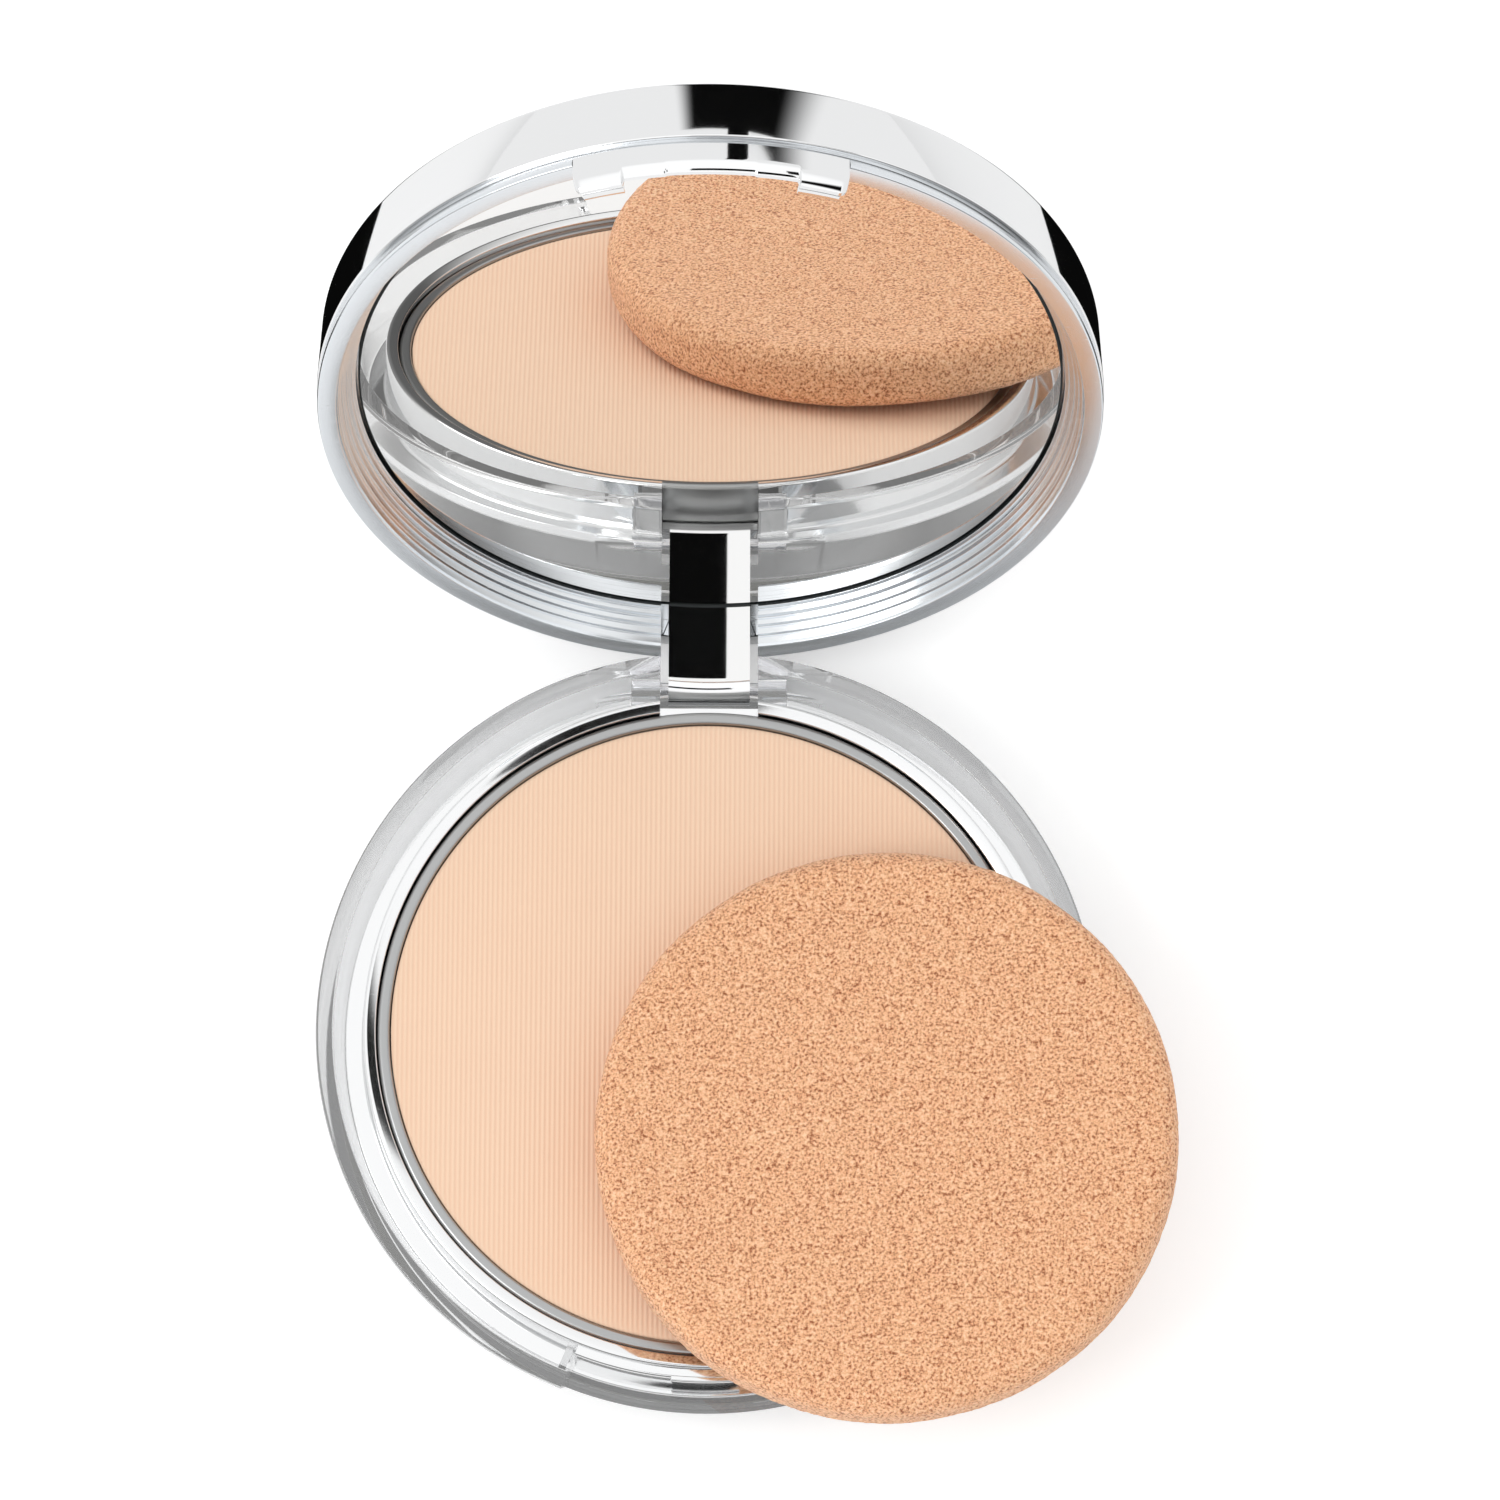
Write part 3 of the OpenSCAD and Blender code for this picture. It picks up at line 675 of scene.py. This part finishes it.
def foam_surface():
    """Half outline of a rounded disc, turned: each point (r, z) goes to (r sin a, -r cos a, z) for even angles
    a. Each then moves along its outward normal by a slow swell less the depth of the pores, which are two
    sizes of noise and fade out towards the poles. All the points of a pole move to their middle."""
    outline = spaced(rounded([(0, 0, 0), (sponge_r, 0, sponge_edge_r), (sponge_r, sponge_t, sponge_edge_r),
                              (0, sponge_t, 0)], 16), foam_step)
    outline[:, 1] += sponge_under_z
    a = np.arange(sectors)[:, None] * 2 * math.pi / sectors
    r, z = outline.T
    points = np.stack([r * np.sin(a), -r * np.cos(a), z + 0 * a], -1)
    slope = np.gradient(outline, axis=0)
    slope /= np.linalg.norm(slope, axis=1)[:, None]
    outward = np.stack([slope[:, 1] * np.sin(a), -slope[:, 1] * np.cos(a), -slope[:, 0] + 0 * a], -1)
    pores = lattice_noise(points, pore_size, 7) + 0.6 * lattice_noise(points, 0.5 * pore_size, 8)
    swell = swell_height * (lattice_noise(points, swell_size, 9) - 0.5)
    relief = swell - pore_depth * (1.6 - pores) * np.clip(r / 2, 0, 1)
    points = points + outward * relief[..., None]
    points[:, [0, -1]] = points[:, [0, -1]].mean(0)
    return points.reshape(-1, 3), grid_faces(sectors, len(r), True, False)


sponge = piece("foam_sponge", *foam_surface(), 180)
sponge_foam, tree, shader = finish("sponge_foam", (0.8, 0.43, 0.24), Roughness=0.95, Sheen_Weight=0.15,
                                   Subsurface_Weight=0.12, Subsurface_Scale=0.6 * mm)
place = node(tree, "TexCoord").outputs["Object"]
cells = node(tree, "TexNoise", {"Vector": place, "Scale": 3600, "Detail": 2, "Roughness": 0.55})
fine = node(tree, "TexNoise", {"Vector": place, "Scale": 8000, "Detail": 2})
foam = node(tree, "Math", {0: fine.outputs[0], 1: 0.35, 2: cells.outputs[0]}, operation="MULTIPLY_ADD")
pore_shade_and_highlight = node(tree, "MapRange", {"Value": foam.outputs[0], "From Min": 0.47, "From Max": 0.87})
# The low parts of the pattern, which the bump sinks as pores, are coloured dark red-brown as painted shade in
# the pores, and the high parts lighter as painted highlight on the cell walls.
shade(tree, shader, pore_shade_and_highlight.outputs[0], [(0.3, 0.08, 0.025), (0.84, 0.44, 0.235), (0.99, 0.64, 0.4)])
emboss(tree, shader, foam.outputs[0], 0.8, 0.22)
sponge.data.materials.append(sponge_foam)
stow = rest_turn(joints["sponge_stow"])
sponge.data.transform(stow)
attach(sponge, "sponge")
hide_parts("sponge")
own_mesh(sponge)

# --------------------------------------------------------------------------------------------------
# Studio. A white floor, a white surround and a soft key from the upper left. Dark cards that only polished
# surfaces see draw the black bars: one behind the lid with a narrow tongue on top, one high in front, one
# to the right of the lid, one low on either side, and a grey one under the lid.
def backdrop(name, corners):
    """Flat stage piece through the corners, which are in metres."""
    mesh = bpy.data.meshes.new(name)
    mesh.from_pydata(corners, [], [list(range(len(corners)))])
    made = bpy.data.objects.new(name, mesh)
    bpy.context.scene.collection.objects.link(made)
    return made


floor = backdrop("floor", [(-3, -3, 0), (3, -3, 0), (3, 3, 0), (-3, 3, 0)])
floor_paint, tree, shader = finish("floor_paint", (0.9, 0.9, 0.9), Roughness=0.9, Emission_Color=(1, 1, 1, 1))
straight = node(tree, "LightPath").outputs["Is Camera Ray"]
lift = node(tree, "Math", {0: straight, 1: 0.3}, operation="MULTIPLY")
tree.links.new(lift.outputs[0], shader.inputs["Emission Strength"])
floor.data.materials.append(floor_paint)


def rise(tree, value, start, end):
    """Smooth step of a value: 0 at start and 1 at end, which may be the lower of the two."""
    return node(tree, "MapRange", {"Value": value, "From Min": start, "From Max": end},
                interpolation_type="SMOOTHSTEP").outputs[0]


def card(name, corners, soft=None, grey=0.003):
    """Dark card seen only in reflections. A soft one gets (axis, start, full, still full, end): along that
    axis it fades in from start to full and out again to end, in metres."""
    made = backdrop(name, corners)
    material = bpy.data.materials.new(name)
    material.use_nodes = True
    tree = material.node_tree
    tree.nodes.clear()
    surface = node(tree, "Emission", {"Color": (grey, grey, grey, 1), "Strength": 1.0}).outputs[0]
    if soft:
        axis, start, full, still_full, end = soft
        along = node(tree, "SeparateXYZ", {0: node(tree, "TexCoord").outputs["Object"]}).outputs[axis]
        shown = node(tree, "Math", {0: rise(tree, along, start, full), 1: rise(tree, along, end, still_full)},
                     operation="MULTIPLY")
        clear = node(tree, "BsdfTransparent")
        surface = node(tree, "MixShader", {0: shown.outputs[0], 1: clear.outputs[0], 2: surface}).outputs[0]
    tree.links.new(surface, node(tree, "OutputMaterial").inputs["Surface"])
    made.data.materials.append(material)
    made.visible_camera = made.visible_diffuse = made.visible_shadow = made.visible_transmission = False
    return made


def upright(x0, x1, z0, z1, y=0.35):
    """Corners of an upright rectangle that faces the compact from behind it."""
    return [(x0, y, z0), (x1, y, z0), (x1, y, z1), (x0, y, z1)]


card_top_z, tongue_top_z = 0.194, 0.275
card("card_behind", upright(-0.05, 0.14, 0, card_top_z), ("X", -0.042, -0.02, 0.075, 0.13))
card("card_tongue", upright(0.02, 0.046, card_top_z, tongue_top_z))
card("card_camera", [(-0.07, -0.13, 0.92), (0.3, -0.13, 0.92), (0.3, -0.29, 0.88), (-0.07, -0.29, 0.88)])
card("card_right", [(0.08, 0.035, 0.16), (0.08, 0.095, 0.16), (0.08, 0.095, 0.29), (0.08, 0.035, 0.29)],
     ("Y", 0.035, 0.05, 0.08, 0.095))
for side, name in ((-1, "card_low_left"), (1, "card_low_right")):
    card(name, [(side * x, y, 0.0005)
                for x, y in ((0.103, 0.064), (0.071, 0.128), (0.02, 0.115), (0.045, 0.05))])
card_under = card("card_under", [(-0.03, 0.043, 0.0004), (0.034, 0.043, 0.0004), (0.034, 0.075, 0.0004),
                                 (-0.03, 0.075, 0.0004)], ("X", -0.06, 0.03, 0.04, 0.05), 0.25)
card_under.visible_transmission = True


def blend(tree, factor, low, high):
    """Level between low and high by the factor, from 0 to 1."""
    return node(tree, "Mix", {0: factor, 2: low, 3: high}, data_type="FLOAT").outputs[0]


# The surround is an even white. Polished surfaces see it brighter overhead and darker in front, more so
# towards the right, and the clear bowl sees it evened out.
world = bpy.data.worlds.new("surround")
bpy.context.scene.world = world
world.use_nodes = True
tree = world.node_tree
tree.nodes.clear()
white, horizon, zenith, through_low, through_high = 0.93, 0.94, 1.15, 0.65, 0.85
heading = node(tree, "SeparateXYZ", {0: node(tree, "TexCoord").outputs["Generated"]}).outputs
in_front = node(tree, "MapRange", {"Value": heading["X"], "From Min": -0.6, "From Max": 0.5, "To Min": 0.3,
                                   "To Max": 0.06})
level = blend(tree, rise(tree, heading["Y"], -0.75, -0.3), in_front.outputs[0], horizon)
seen_in_gloss = blend(tree, rise(tree, heading["Z"], 0.55, 0.85), level, zenith)
seen_through = blend(tree, through_low, seen_in_gloss, through_high)
rays = node(tree, "LightPath").outputs
brightness = blend(tree, rays["Is Glossy Ray"], white, seen_in_gloss)
brightness = blend(tree, rays["Is Transmission Ray"], brightness, seen_through)
sky = node(tree, "Background", {"Color": (1, 1, 1, 1), "Strength": brightness})
tree.links.new(sky.outputs[0], node(tree, "OutputWorld").inputs["Surface"])


def soft_light(name, place, size, power):
    """Square area light at that place, aimed at the compact."""
    lamp = bpy.data.lights.new(name, "AREA")
    lamp.size, lamp.energy = size, power
    made = bpy.data.objects.new(name, lamp)
    made.location = place
    made.rotation_euler = (Vector((0, 0, 0.03)) - Vector(place)).to_track_quat("-Z", "Y").to_euler()
    bpy.context.scene.collection.objects.link(made)


soft_light("key", (-0.75, -0.25, 0.95), 0.6, 4.0)

camera_place, camera_aim = Vector((0.000836, -0.206246, 0.901063)), Vector((0.004027, 0.028034, 0.0128))
camera_roll = Quaternion((0, 0, 1), math.radians(1.04))
lens = bpy.data.cameras.new("camera")
lens.sensor_width, lens.lens, lens.clip_start = 36, 225.7, 0.01
camera = bpy.data.objects.new("camera", lens)
camera.location = camera_place
camera.rotation_mode = "QUATERNION"
camera.rotation_quaternion = (camera_aim - camera_place).to_track_quat("-Z", "Y") @ camera_roll
bpy.context.scene.collection.objects.link(camera)
bpy.context.scene.camera = camera
bpy.context.scene.view_settings.view_transform = "Standard"
